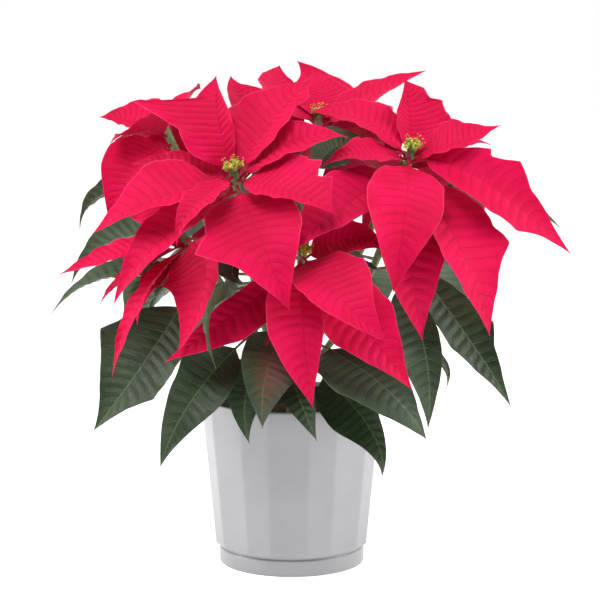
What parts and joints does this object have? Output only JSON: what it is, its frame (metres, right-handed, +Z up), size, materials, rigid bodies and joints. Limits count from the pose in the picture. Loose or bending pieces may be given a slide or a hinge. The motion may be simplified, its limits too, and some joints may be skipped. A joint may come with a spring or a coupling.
{
  "type": "potted poinsettia plant",
  "caption": "Flowering poinsettia in a fluted white pot: red star-shaped bracts round small yellow-green flowers above lobed dark green leaves.",
  "frame": {"origin": "middle of the pot's flat underside", "axes": "+Z up, -Y towards the plant's best side, +X to its right as seen from there"},
  "size_m": [0.398, 0.3144, 0.3873],
  "materials": {
    "outer_pot": "glossy white glaze",
    "nursery_pot": "satin black",
    "soil": "dry, granular",
    "trunk": "rough green-brown bark",
    "green_leaf": "satin leaf with fine pale veins",
    "red_bract": "soft satin bract with sunken veins",
    "flower": "waxy green cups with yellow glands and red threads"
  },
  "bodies": {
    "root": {"outer_pot": "outer_pot", "nursery_pot": "nursery_pot", "soil": "soil", "trunk": "trunk", "branch_front_left": "green_leaf", "branch_right": "green_leaf", "branch_low_left": "green_leaf", "branch_low_front": "green_leaf", "branch_top": "green_leaf", "branch_back_left": "green_leaf", "branch_back_right": "green_leaf", "branch_back": "green_leaf", "bracts_front_left": "red_bract", "bracts_right": "red_bract", "bracts_low_left": "red_bract", "bracts_low_front": "red_bract", "bracts_top": "red_bract", "bracts_back_left": "red_bract", "bracts_back_right": "red_bract", "bracts_back": "red_bract", "flowers_front_left": "flower", "flowers_right": "flower", "flowers_low_left": "flower", "flowers_low_front": "flower", "flowers_top": "flower", "flowers_back_left": "flower", "flowers_back_right": "flower", "flowers_back": "flower"}
  },
  "joints": []
}
